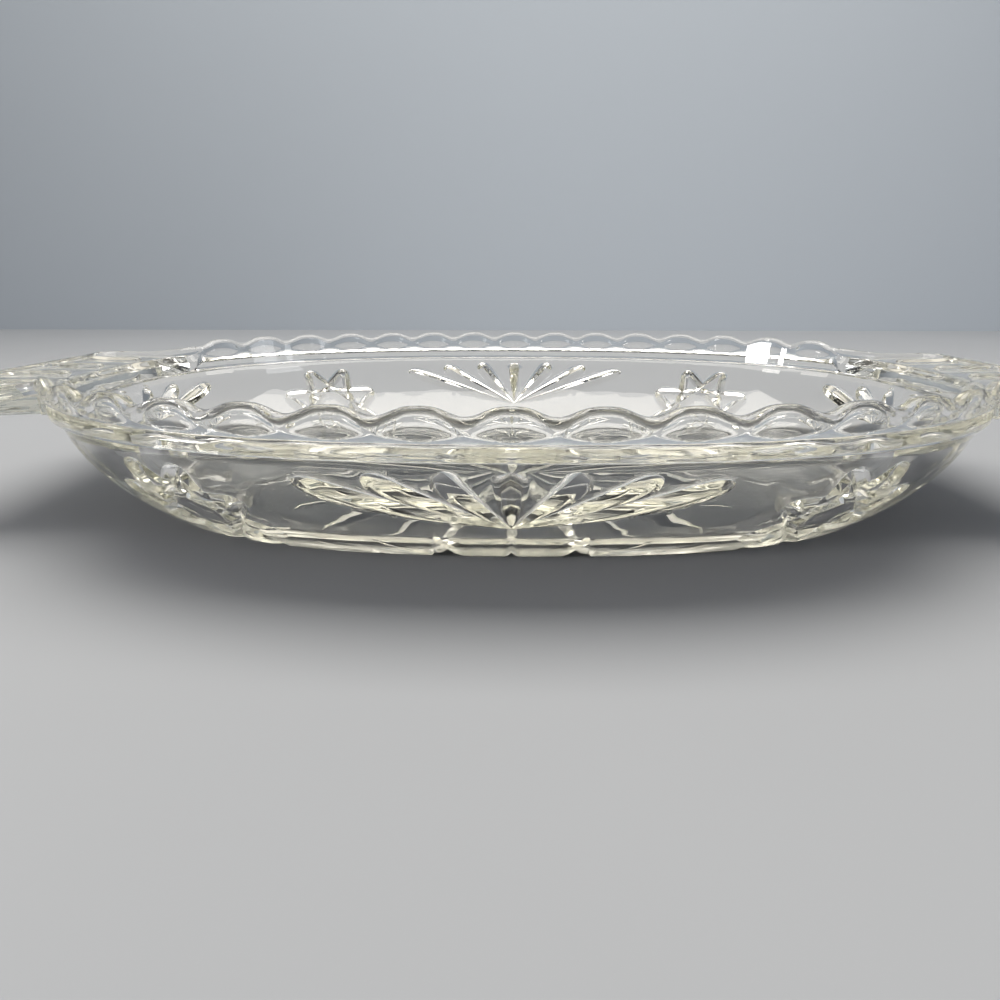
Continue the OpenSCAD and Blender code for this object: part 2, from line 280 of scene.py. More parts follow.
@dataclass(frozen=True)
class SlopedWall:
    """The bellied outer wall between the collar's underside and the resting face."""

    rim: OvalRim
    ledge_level: float = 25.4
    ledge_inset: float = 3.0
    foot_end: float = 20.0
    foot_side: float = 26.4
    belly: float = 3.5
    probe: float = 0.2
    slope_steps: int = 200
    steps_past_foot: int = 30
    under_steps: int = 120

    def inset(self, drop: float, foot: float) -> float:
        """Gives the inset of the wall.

        Args:
            drop: Distance below the collar's underside.
            foot: The inset of the foot.

        Returns:
            The inset.
        """
        share = drop / self.ledge_level
        bulge = 4 * self.belly * share * (1 - share)
        return self.ledge_inset + (foot - self.ledge_inset) * share - bulge

    def lean(self, drop: float) -> float:
        """Gives how much longer than its drop the wall is, down a long side.

        Args:
            drop: Distance below the collar's underside.

        Returns:
            The length of wall for each unit of drop there.
        """
        share = drop / self.ledge_level
        run = self.foot_side - self.ledge_inset - 4 * self.belly * (1 - 2 * share)
        return math.hypot(1, run / self.ledge_level)

    def spot(self, drop: float, thick: float = 0.0) -> Spot:
        """Gives a spot of the wall's section.

        Args:
            drop: Distance below the collar's underside.
            thick: Thickness of glass between the outer wall and the spot, square to the wall.

        Returns:
            The inset at the ends, the inset on the sides and the level.
        """
        inward = thick * self.lean(drop)
        end, side = self.inset(drop, self.foot_end), self.inset(drop, self.foot_side)
        return end + inward, side + inward, self.ledge_level - drop

    @cached_property
    def slopes(self) -> list[tuple[float, float]]:
        """Measures the wall down a long side, to just past the foot.

        Returns:
            Rows of the distance down the wall and the drop there.
        """
        step = self.ledge_level / self.slope_steps
        rows, down = [], 0.0
        for i in range(self.slope_steps + self.steps_past_foot + 1):
            rows.append((down, step * i))
            down += step * self.lean(step * i)
        return rows

    def point(self, along: float, drop: float) -> Vector:
        """Gives a point on the outer wall by its place along the rim and its drop."""
        end, side, level = self.spot(drop)
        return Vector((*self.rim.xy(self.rim.angle_at(along), end, side), level))

    def outward(self, along: float, drop: float) -> Vector:
        """Gives the direction square to the outer wall, away from the glass.

        Args:
            along: Place along the rim.
            drop: Distance below the collar's underside.

        Returns:
            The direction.
        """
        across = self.point(along + self.probe, drop) - self.point(along - self.probe, drop)
        down = self.point(along, drop + self.probe) - self.point(along, drop - self.probe)
        return across.cross(down).normalized()

    def along(self, middle: float, aside: float, drop: float) -> float:
        """Gives the place along the rim of a point to the side of a motif's middle."""
        half = self.rim.length / 2
        return middle + aside * half / (half - self.inset(drop, self.foot_end))

    def under_levels(self, heading: Vector) -> list[tuple[float, float]]:
        """Measures the wall in one direction, from the foot up.

        Args:
            heading: The direction, seen from above.

        Returns:
            Rows of the radius and the level.
        """
        rows, power = [], self.rim.power
        for part in parts(self.under_steps):
            drop = self.ledge_level * (1 - part)
            length = self.rim.length / 2 - self.inset(drop, self.foot_end)
            width = self.rim.width / 2 - self.inset(drop, self.foot_side)
            size = (abs(heading.x) / length) ** power + (abs(heading.y) / width) ** power
            rows.append((size ** (-1 / power), self.ledge_level * part))
        return rows


@dataclass(frozen=True)
class CollarSizes:
    """Sizes of the scalloped collar, its bead and the shoulder inside it."""

    height: float = 34.4
    lean: float = 1.2
    lip: float = 3.0
    bead: float = 3.0
    bead_out: float = 1.1
    groove: float = 0.7
    groove_level: float = 0.2
    groove_share: float = 0.5
    groove_fade: int = 4
    neck: float = 0.5
    neck_flare: float = 1.4
    scallops: int = 15
    scallop_depth: float = 1.6
    scallop_power: float = 3.2
    print_depth: float = 1.1
    print_power: float = 1.05
    print_share: float = 0.45
    print_level: float = 31.7
    print_half: float = 2.75
    no_print: float = 9.0
    handle_drop: float = 4.0
    slope: float = 4.4
    shoulder_width: float = 2.2
    shoulder_rise: float = 0.6
    overlap: float = 0.02
    bead_steps: int = 12
    neck_steps: int = 14
    lip_steps: int = 12

    def print_height(self, level: float) -> float:
        """Gives how far a level is above the prints' middle, as a share of their half height."""
        return (level - self.print_level) / self.print_half


class NodeTree:
    """A node tree under construction, with short words for what it uses most."""

    def __init__(self, tree: bpy.types.NodeTree) -> None:
        """Takes on a tree."""
        self.tree = tree

    def feed(self, socket: NodeSocket, value: object) -> None:
        """Links an output socket to an input, or writes a plain value there.

        Args:
            socket: The input.
            value: The output socket or the value.
        """
        if isinstance(value, NodeSocket):
            self.tree.links.new(value, socket)
        else:
            socket.default_value = value

    def fill(self, node: Node, **inputs: object) -> None:
        """Feeds a node's inputs, each by its name with _ for a space."""
        for name, value in inputs.items():
            self.feed(node.inputs[name.replace("_", " ")], value)

    def node(self, kind: str, *first: object, setting: str = "", **inputs: object) -> Node:
        """Adds a node and feeds its inputs.

        Args:
            kind: The node's type.
            first: Values or output sockets for its first inputs, in order.
            setting: What it does, for the types in NODE_SETTINGS.
            inputs: Values or output sockets by the input's name, with _ for a space.

        Returns:
            The node.
        """
        made = self.tree.nodes.new(kind)
        if setting:
            setattr(made, NODE_SETTINGS[kind], setting)
        for socket, value in zip(made.inputs, first):
            self.feed(socket, value)
        self.fill(made, **inputs)
        return made

    def math(self, operation: str, *values: object) -> NodeSocket:
        """Adds a Math node and gives its output socket."""
        return self.node("ShaderNodeMath", *values, setting=operation).outputs[0]

    def blend(self, share: object, first: object, second: object) -> NodeSocket:
        """Adds a mix of two colours and gives its output socket."""
        made = self.node("ShaderNodeMix", setting="RGBA", Factor=share, A=first, B=second)
        return made.outputs["Result"]

    def remap(
        self,
        value: NodeSocket,
        source: tuple[float, float],
        target: tuple[float, float] = (0.0, 1.0),
        setting: str = "LINEAR",
    ) -> NodeSocket:
        """Adds a change from one range of values to another.

        Args:
            value: The value's socket.
            source: Its range before.
            target: Its range after.
            setting: How it changes between them.

        Returns:
            The output socket.
        """
        made = self.node("ShaderNodeMapRange", setting=setting, Value=value)
        self.fill(made, From_Min=source[0], From_Max=source[1])
        self.fill(made, To_Min=target[0], To_Max=target[1])
        return made.outputs["Result"]


class SurfaceTree(NodeTree):
    """The node tree of a new material, with its shader and the place on the object."""

    def __init__(self, name: str) -> None:
        """Starts the material.

        Args:
            name: Its name.
        """
        self.material = bpy.data.materials.new(name)
        self.material.use_nodes = True
        super().__init__(self.material.node_tree)
        self.shader = self.tree.nodes["Principled BSDF"]
        self.place = self.node("ShaderNodeTexCoord").outputs["Object"]

    def noise(self, scale: float, detail: float, **inputs: float) -> NodeSocket:
        """Adds a noise on the object.

        Args:
            scale: Its scale.
            detail: Its detail.
            inputs: Values for its other inputs, by name.

        Returns:
            The output socket.
        """
        made = self.node("ShaderNodeTexNoise", Vector=self.place, Scale=scale, Detail=detail)
        self.fill(made, **inputs)
        return made.outputs["Fac"]


@dataclass(frozen=True)
class GrainyGlass:
    """Clear pressed glass: fire-polished, faintly wavy and tinted, worn where it rests."""

    tint: Color = (1.0, 1.0, 0.995, 1.0)
    depth_tint: Color = (0.88, 0.87, 0.77, 1.0)
    depth_density: float = 14.0
    ior: float = 1.52
    polish: float = 0.01
    haze: float = 0.035
    smear_scale: float = 38.0
    smear_detail: float = 4.0
    smear_roughness: float = 0.6
    smear_range: tuple[float, float] = (0.45, 0.75)
    wear: float = 0.32
    wear_levels: tuple[float, float] = (0.00005, 0.0006)
    scuff_scale: float = 900.0
    scuff_detail: float = 3.0
    wave_scale: float = 75.0
    wave_detail: float = 1.5
    wave_height: float = 0.0006
    wave_strength: float = 0.35

    def make(self) -> Material:
        """Builds the glass as nodes.

        Returns:
            The material.
        """
        tree = SurfaceTree("pressed_clear_glass")
        smears = tree.noise(self.smear_scale, self.smear_detail, Roughness=self.smear_roughness)
        haze = tree.remap(smears, self.smear_range, (self.polish, self.haze))
        level = tree.node("ShaderNodeSeparateXYZ", tree.place).outputs["Z"]
        foot = tree.remap(level, self.wear_levels, (self.wear, 0.0))
        worn = tree.math("MULTIPLY", foot, tree.noise(self.scuff_scale, self.scuff_detail))
        waves = tree.node("ShaderNodeBump", Height=tree.noise(self.wave_scale, self.wave_detail))
        tree.fill(waves, Strength=self.wave_strength, Distance=self.wave_height)
        tree.fill(
            tree.shader,
            Base_Color=self.tint,
            Transmission_Weight=1.0,
            IOR=self.ior,
            Roughness=tree.math("ADD", haze, worn),
            Normal=waves.outputs["Normal"],
        )
        depth = tree.node("ShaderNodeVolumeAbsorption", self.depth_tint, self.depth_density)
        tree.fill(tree.tree.nodes["Material Output"], Volume=depth.outputs["Volume"])
        return tree.material


@dataclass(frozen=True)
class MattePaint:
    """A pale matt surface with a faint mottle, for the table and the wall behind it."""

    name: str
    light: Color
    dark: Color
    roughness: float
    scale: float
    detail: float = 5.0

    def make(self) -> Material:
        """Builds the paint as nodes.

        Returns:
            The material.
        """
        tree = SurfaceTree(self.name)
        color = tree.blend(tree.noise(self.scale, self.detail), self.dark, self.light)
        tree.fill(tree.shader, Roughness=self.roughness, Base_Color=color)
        return tree.material


class GeometryTree(NodeTree):
    """A Geometry Nodes tree with a mesh input, a named input for each size and a material."""

    def __init__(self, name: str, sizes: tuple[str, ...]) -> None:
        """Starts a tree.

        Args:
            name: Name of the tree.
            sizes: Names of its inputs for sizes.
        """
        super().__init__(bpy.data.node_groups.new(name, "GeometryNodeTree"))
        self.sockets: dict[str, str] = {}
        self._socket("Geometry", "Geometry")
        for size in sizes:
            self._socket(size, "Float")
        self._socket("Material", "Material")
        self._socket("Geometry", "Geometry", "OUTPUT")
        self.inputs = self.tree.nodes.new("NodeGroupInput").outputs
        self.target = self.tree.nodes.new("NodeGroupOutput")

    def _socket(self, name: str, kind: str, side: str = "INPUT") -> None:
        """Adds a socket to the tree's face and keeps the identifier of an input."""
        made = self.tree.interface.new_socket(name, in_out=side, socket_type=f"NodeSocket{kind}")
        self.sockets.setdefault(name, made.identifier)

    def pick(self, index: NodeSocket, values: tuple[float, ...]) -> NodeSocket:
        """Chooses among values by an index.

        Args:
            index: The index's socket.
            values: A value for each index.

        Returns:
            The output socket with the chosen value.
        """
        made = self.tree.nodes.new("GeometryNodeIndexSwitch")
        made.data_type = "FLOAT"
        while len(made.index_switch_items) < len(values):
            made.index_switch_items.new()
        for socket, value in zip(made.inputs, (index, *values)):
            self.feed(socket, value)
        return made.outputs["Output"]

    def attribute(self, name: str, kind: str = "FLOAT") -> NodeSocket:
        """Reads a named attribute and gives its output socket."""
        made = self.node("GeometryNodeInputNamedAttribute", setting=kind, Name=name)
        return made.outputs["Attribute"]

    def close(self, geometry: NodeSocket) -> None:
        """Ends the tree in Realize Instances and Set Material.

        Args:
            geometry: Socket of the finished geometry.
        """
        real = self.node("GeometryNodeRealizeInstances", geometry).outputs["Geometry"]
        material = self.inputs["Material"]
        dressed = self.node("GeometryNodeSetMaterial", Geometry=real, Material=material)
        self.feed(self.target.inputs["Geometry"], dressed.outputs["Geometry"])

    def run(self, base: Object, material: Material, **sizes: float) -> None:
        """Runs the tree on an object and keeps the result as its plain mesh.

        Args:
            base: The object whose mesh the tree reads and replaces.
            material: The material for all faces.
            sizes: Values for the named inputs, with _ for a space.
        """
        modifier = base.modifiers.new(self.tree.name, "NODES")
        modifier.node_group = self.tree
        for name, value in sizes.items():
            modifier[self.sockets[name.replace("_", " ")]] = value
        modifier[self.sockets["Material"]] = material
        settle(base)


def settle(piece: Object) -> None:
    """Turns an object's modifiers into its plain mesh.

    Args:
        piece: The object.
    """
    live = piece.evaluated_get(bpy.context.evaluated_depsgraph_get())
    shape = bpy.data.meshes.new_from_object(live)
    piece.modifiers.clear()
    spent = piece.data
    piece.data = shape
    bpy.data.meshes.remove(spent)


def mesh_object(
    name: str,
    points: list[Vector],
    faces: list[tuple[int, ...]],
    edges: list[tuple[int, int]] = (),
) -> Object:
    """Makes an object from points in millimetres.

    Args:
        name: Name of the object and its mesh.
        points: Its points.
        faces: Its faces, as places in the list of points.
        edges: Loose edges, as places in the list of points.

    Returns:
        The object, linked to the scene.
    """
    mesh = bpy.data.meshes.new(name)
    mesh.from_pydata([Vector(point) * MM for point in points], edges, faces)
    made = bpy.data.objects.new(name, mesh)
    bpy.context.scene.collection.objects.link(made)
    return made


def write_attribute(mesh: Mesh, name: str, values: list[float] | list[Vector]) -> None:
    """Gives each point of a mesh a named number or direction.

    Args:
        mesh: The mesh.
        name: Name of the attribute.
        values: A number or a direction for each point.
    """
    if isinstance(values[0], Vector):
        made = mesh.attributes.new(name, "FLOAT_VECTOR", "POINT")
        made.data.foreach_set("vector", [part for vector in values for part in vector])
    else:
        mesh.attributes.new(name, "FLOAT", "POINT").data.foreach_set("value", values)


def turn_out(mesh: Mesh) -> None:
    """Makes every face of a closed mesh point outwards.

    Args:
        mesh: The mesh.
    """
    work = bmesh.new()
    work.from_mesh(mesh)
    bmesh.ops.recalc_face_normals(work, faces=work.faces)
    work.to_mesh(mesh)
    work.free()


def put_by(solid: Object, holder: Collection) -> None:
    """Turns a solid's faces outwards and moves it from the scene to a collection.

    Args:
        solid: The solid.
        holder: The collection.
    """
    turn_out(solid.data)
    bpy.context.scene.collection.objects.unlink(solid)
    holder.objects.link(solid)


@dataclass
class SweptPaths:
    """Paths on the glass that a section is swept along, such as cuts, ribs and borders.

    A path is a list of points, each with the direction away from the glass and the size of the
    section there, as a share of its full size.
    """

    name: str
    section: Section
    round_steps: int = 24
    paths: list[list[Station]] = field(default_factory=list)

    def add(self, path: list[Station]) -> None:
        """Adds a path."""
        self.paths.append(path)

    def _tree(self) -> GeometryTree:
        """Builds the tree that sweeps the section along a path.

        Returns:
            The tree.
        """
        tree = GeometryTree(f"{self.name}_sweep", self.section.value)
        line = tree.node("GeometryNodeMeshToCurve", Mesh=tree.inputs["Geometry"])
        turned = tree.node("GeometryNodeSetCurveNormal", setting="FREE")
        tree.fill(turned, Curve=line.outputs["Curve"], Normal=tree.attribute("out", "FLOAT_VECTOR"))
        solid = tree.node(
            "GeometryNodeCurveToMesh",
            Curve=turned.outputs["Curve"],
            Profile_Curve=self._profile(tree),
            Scale=tree.attribute("share"),
            Fill_Caps=True,
        )
        tree.close(solid.outputs["Mesh"])
        return tree

    def _profile(self, tree: GeometryTree) -> NodeSocket:
        """Adds the section, a ring or a mitre cut with fire-polished shoulders.

        Args:
            tree: The tree that gets it.

        Returns:
            The output socket with its curve.
        """
        left = [(-aside, level, above) for aside, level, above in reversed(MITRE_SHOULDERS)]
        corners = [(0.0, -1.0, 0.0), *MITRE_SHOULDERS, *left]
        count = self.round_steps if self.section is Section.ROUND else len(corners)
        ring = tree.node("GeometryNodeCurvePrimitiveCircle", Resolution=count)
        if self.section is Section.ROUND:
            tree.fill(ring, Radius=tree.inputs["Radius"])
            return ring.outputs["Curve"]
        index = tree.node("GeometryNodeInputIndex").outputs["Index"]
        aside, level, above = (tree.pick(index, values) for values in zip(*corners))
        over = tree.math("MULTIPLY", above, tree.inputs["Overrun"])
        up = tree.math("MULTIPLY_ADD", level, tree.inputs["Depth"], over)
        across = tree.math("MULTIPLY", aside, tree.inputs["Width"])
        place = tree.node("ShaderNodeCombineXYZ", up, across).outputs["Vector"]
        moved = tree.node("GeometryNodeSetPosition", Geometry=ring.outputs["Curve"], Position=place)
        return moved.outputs["Geometry"]

    def build(self, material: Material, holder: Collection, **sizes: float) -> None:
        """Sweeps the section along each path and puts the solids into a collection.

        Args:
            material: The material for the solids.
            holder: The collection for the solids.
            sizes: The section's sizes in millimetres, by the tree's names.
        """
        tree = self._tree()
        scaled = {name: size * MM for name, size in sizes.items()}
        for number, path in enumerate(self.paths):
            points, outs, shares = zip(*path)
            edges = [(i, i + 1) for i in range(len(path) - 1)]
            ways = zip((points[0], *points), (*points[1:], points[-1]))
            headings = [(ahead - behind).normalized() for behind, ahead in ways]
            square = [out - way * out.dot(way) for out, way in zip(outs, headings)]
            solid = mesh_object(f"{self.name}_{number}", points, [], edges)
            write_attribute(solid.data, "share", shares)
            write_attribute(solid.data, "out", [out.normalized() for out in square])
            tree.run(solid, material, **scaled)
            put_by(solid, holder)
        log.info("%s: %d solids", self.name, len(self.paths))


@dataclass(frozen=True)
class WallCuts:
    """A motif of mitre cuts that follow the wall, each between two spots of it."""

    wall: SlopedWall
    leaf: Leaf
    width: float
    depth: float
    stations: int

    def lines(self) -> list[tuple[Vector, Vector, float]]:
        """Gives the cuts of the motif.

        Returns:
            For each cut its first and last spot, both a distance aside and a distance down the
            wall, and how far its middle is pushed down off the straight line.
        """
        raise NotImplementedError

    def add(self, paths: SweptPaths, middle: float) -> None:
        """Adds the cuts of one motif.

        Args:
            paths: Where their paths go.
            middle: The motif's place along the rim.
        """
        wall = self.wall
        for first, last, bow in self.lines():
            path = []
            for place in self.leaf.places(self.stations):
                spot = first.lerp(last, place)
                drop = lookup(spot.y + bow * math.sin(math.pi * place), wall.slopes)
                along = wall.along(middle, spot.x, drop)
                share = self.leaf.share(place)
                path.append((wall.point(along, drop), wall.outward(along, drop), share))
            paths.add(path)


@dataclass(frozen=True)
class FanCuts(WallCuts):
    """Fans of leaf-shaped mitre cuts that spread up the wall on its sides and ends."""

    leaf: Leaf = Leaf.PETAL
    width: float = 6.0
    depth: float = 1.9
    stations: int = 11
    pairs: int = 3
    length: float = 15.6
    step: float = 12.0
    root: float = 17.6
    droop: float = 0.17
    bow: float = 0.5

    def lines(self) -> list[tuple[Vector, Vector, float]]:
        """Gives the petals of the fan.

        Returns:
            For each petal its root, its tip and its bow.
        """
        petals = []
        for i in range(-self.pairs, self.pairs + 1):
            rise = self.length * (1 - self.droop * (i / self.pairs) ** 2)
            tip = Vector((i * self.step, self.root - rise))
            petals.append((Vector((0.0, self.root)), tip, self.bow * abs(i) / self.pairs))
        return petals


@dataclass(frozen=True)
class StarCuts(WallCuts):
    """Stars of eight bars, each from one point to the third after it."""

    leaf: Leaf = Leaf.BAR
    width: float = 4.3
    depth: float = 1.5
    stations: int = 8
    place: float = 66.0
    middle: float = 17.8
    radius: float = 15.6
    low_stretch: float = 1.3
    points: int = 8
    skip: int = 3

    def point(self, i: int) -> Vector:
        """Gives a point of the star.

        Args:
            i: Which of them, from the top.

        Returns:
            Its distance aside and its distance down the wall.
        """
        turn = 2 * math.pi * (i + 0.5) / self.points
        down = -self.radius * math.cos(turn)
        if down > 0:
            down *= self.low_stretch
        return Vector((self.radius * math.sin(turn), self.middle + down))

    def lines(self) -> list[tuple[Vector, Vector, float]]:
        """Gives the straight bars of the star."""
        return [(self.point(i), self.point(i + self.skip), 0.0) for i in range(self.points)]


@dataclass(frozen=True)
class RayCuts:
    """Star of rays under the floor, whose longest rays run up the foot of the wall."""

    wall: SlopedWall
    count: int = 24
    start: float = 5.0
    climb: float = 9.4
    width: float = 7.0
    depth: float = 1.5
    small_share: float = 0.5
    stations: int = 18
    probe: float = 0.8

    def add(self, paths: SweptPaths) -> None:
        """Adds all rays, small and large ones by turns.

        Args:
            paths: Where their paths go.
        """
        reach = self.wall.rim.width / 2 - self.wall.foot_side + self.climb
        for i in range(self.count):
            angle = 2 * math.pi * i / self.count
            heading = Vector((math.sin(angle), math.cos(angle), 0.0))
            levels = self.wall.under_levels(heading)
            size = self.small_share if i % 2 == 0 else 1.0
            path = []
            for place in Leaf.RAY.places(self.stations):
                radius = self.start + (reach - self.start) * place
                rise = lookup(radius + self.probe, levels) - lookup(radius - self.probe, levels)
                out = (heading * rise / (2 * self.probe) - UP).normalized()
                point = heading * radius + UP * lookup(radius, levels)
                path.append((point, out, size * Leaf.RAY.share(place)))
            paths.add(path)


@dataclass(frozen=True)
class TabHandles:
    """The flat tab at each end, with a raised border and ribs."""

    rim: OvalRim
    top: float
    bottom: float
    reach: float = 20.5
    root_width: float = 66.0
    root_steps: int = 20
    edge_width: float = 76.0
    edge_round: float = 1.1
    edge_steps: int = 4
    corner: float = 6.0
    corner_steps: int = 14
    sunk: float = 0.8
    border_radius: float = 1.6
    border_start: float = 0.88
    border_climb: float = 1.4
    border_steps: int = 18
    lip_pull: float = 18.0
    corner_pull: float = 22.0
    ribs: int = 4
    rib_radius: float = 1.6
    rib_rise: float = 0.8
    rib_spacing: float = 16.3
    rib_fan: float = 0.86
    rib_setback: float = 3.5
    rib_tip: float = 0.03
    rib_tip_steps: int = 8
    rib_steps: int = 10

    @property
    def edge(self) -> float:
        """Place of the tab's outer edge along X."""
        return self.rim.length / 2 + self.reach

    def outline(self, inset: float) -> list[tuple[float, float]]:
        """Gives the right tab's outer outline.

        Args:
            inset: How far it is drawn in.

        Returns:
            Points of X and Y, from its far side to its near side.
        """
        corner = self.corner - inset
        out = self.edge - inset - corner
        half = self.edge_width / 2 - inset - corner
        turns = arc(1, 0, self.corner_steps)
        far = [(out + corner * cosine, half + corner * sine) for cosine, sine in turns]
        return far + [(x, -y) for x, y in reversed(far)]

    def root(self, inset: float) -> list[tuple[float, float]]:
        """Gives the line where the right tab is sunk into the rim.

        Args:
            inset: How far it is drawn in.

        Returns:
            Points of X and Y, from its near side to its far side.
        """
        first = self.rim.along_at_y(self.root_width / 2 - inset)
        run = self.rim.quarter - first
        angles = [self.rim.angle_at(first + run * part) for part in parts(self.root_steps)]
        half = [self.rim.xy(angle, self.sunk, self.sunk) for angle in angles]
        return [(x, -y) for x, y in half] + half[-2::-1]

    def build(self, side: int, holder: Collection) -> None:
        """Builds one tab's plate.

        Args:
            side: 1 for the right tab, -1 for the left.
            holder: The collection for it.
        """
        size = self.edge_round
        turns = arc(0, 1, self.edge_steps)
        rows = [(size * (1 - sine), self.bottom + size * (1 - cosine)) for cosine, sine in turns]
        rows += [(inset, self.top + self.bottom - level) for inset, level in reversed(rows)]
        rings = [(self.root(inset) + self.outline(inset), level) for inset, level in rows]
        points = [Vector((side * x, y, level)) for ring, level in rings for x, y in ring]
        count = len(rings[0][0])
        faces = [tuple(range(count)), tuple(range(len(points) - count, len(points)))]
        for low in range(0, len(points) - count, count):
            for i in range(low, low + count):
                n = low + (i + 1 - low) % count
                faces.append((i, n, n + count, i + count))
        put_by(mesh_object(f"tab_{side}", points, faces), holder)

    def add_ribs(self, paths: SweptPaths, side: int) -> None:
        """Adds the round-backed ribs of one tab, from near the rim to the border.

        Args:
            paths: Where their paths go.
            side: 1 for the right tab, -1 for the left.
        """
        radius = self.rib_radius
        axis = self.top + self.rib_rise - radius
        for i in range(self.ribs):
            aside = self.rib_spacing * (i - (self.ribs - 1) / 2)
            start_y = aside * self.rib_fan
            root = self.rim.xy(self.rim.angle_at(self.rim.along_at_y(abs(start_y))))[0]
            start = Vector((root + self.rib_setback - radius, start_y, axis))
            end = Vector((self.edge - self.border_radius, aside, axis))
            run = (end - start).length
            places = [radius * (1 - cosine) / run for cosine, _ in arc(0, 1, self.rib_tip_steps)]
            round_end, rest = places[-1], 1 - places[-1]
            places += [round_end + rest * part for part in parts(self.rib_steps)[1:]]
            path = []
            for place in places:
                x, y, z = start.lerp(end, place)
                short = max(0.0, 1 - place * run / radius)
                share = max(self.rib_tip, math.sqrt(1 - short * short))
                path.append((Vector((side * x, y, z)), UP, share))
            paths.add(path)

    def add_border(self, paths: SweptPaths, side: int, lip: Vector, heading: Vector) -> None:
        """Adds the raised border of one tab, which flows out of the rim's lip.

        Args:
            paths: Where its path goes.
            side: 1 for the right tab, -1 for the left.
            lip: Axis of the lip beside the last scallop, on the far right.
            heading: Direction of the lip there, towards the tab.
        """
        axis = self.top + self.rib_rise - self.border_radius
        edge = [Vector((x, y, axis)) for x, y in self.outline(self.border_radius)]
        leave, arrive = heading * self.lip_pull, Vector((1.0, 0.0, 0.0)) * self.corner_pull
        far = []
        for t in parts(self.border_steps)[:-1]:
            x, y, _ = (
                lip * (2 * t**3 - 3 * t**2 + 1)
                + leave * (t**3 - 2 * t**2 + t)
                + edge[0] * (3 * t**2 - 2 * t**3)
                + arrive * (t**3 - t**2)
            )
            z = lip.z + (axis - lip.z) * smooth(t * self.border_climb)
            share = self.border_start + (1 - self.border_start) * smooth(2 * t)
            far.append((Vector((side * x, y, z)), UP, share))
        near = [(Vector((point.x, -point.y, point.z)), UP, share) for point, _, share in far[::-1]]
        paths.add(far + [(Vector((side * x, y, z)), UP, 1.0) for x, y, z in edge] + near)


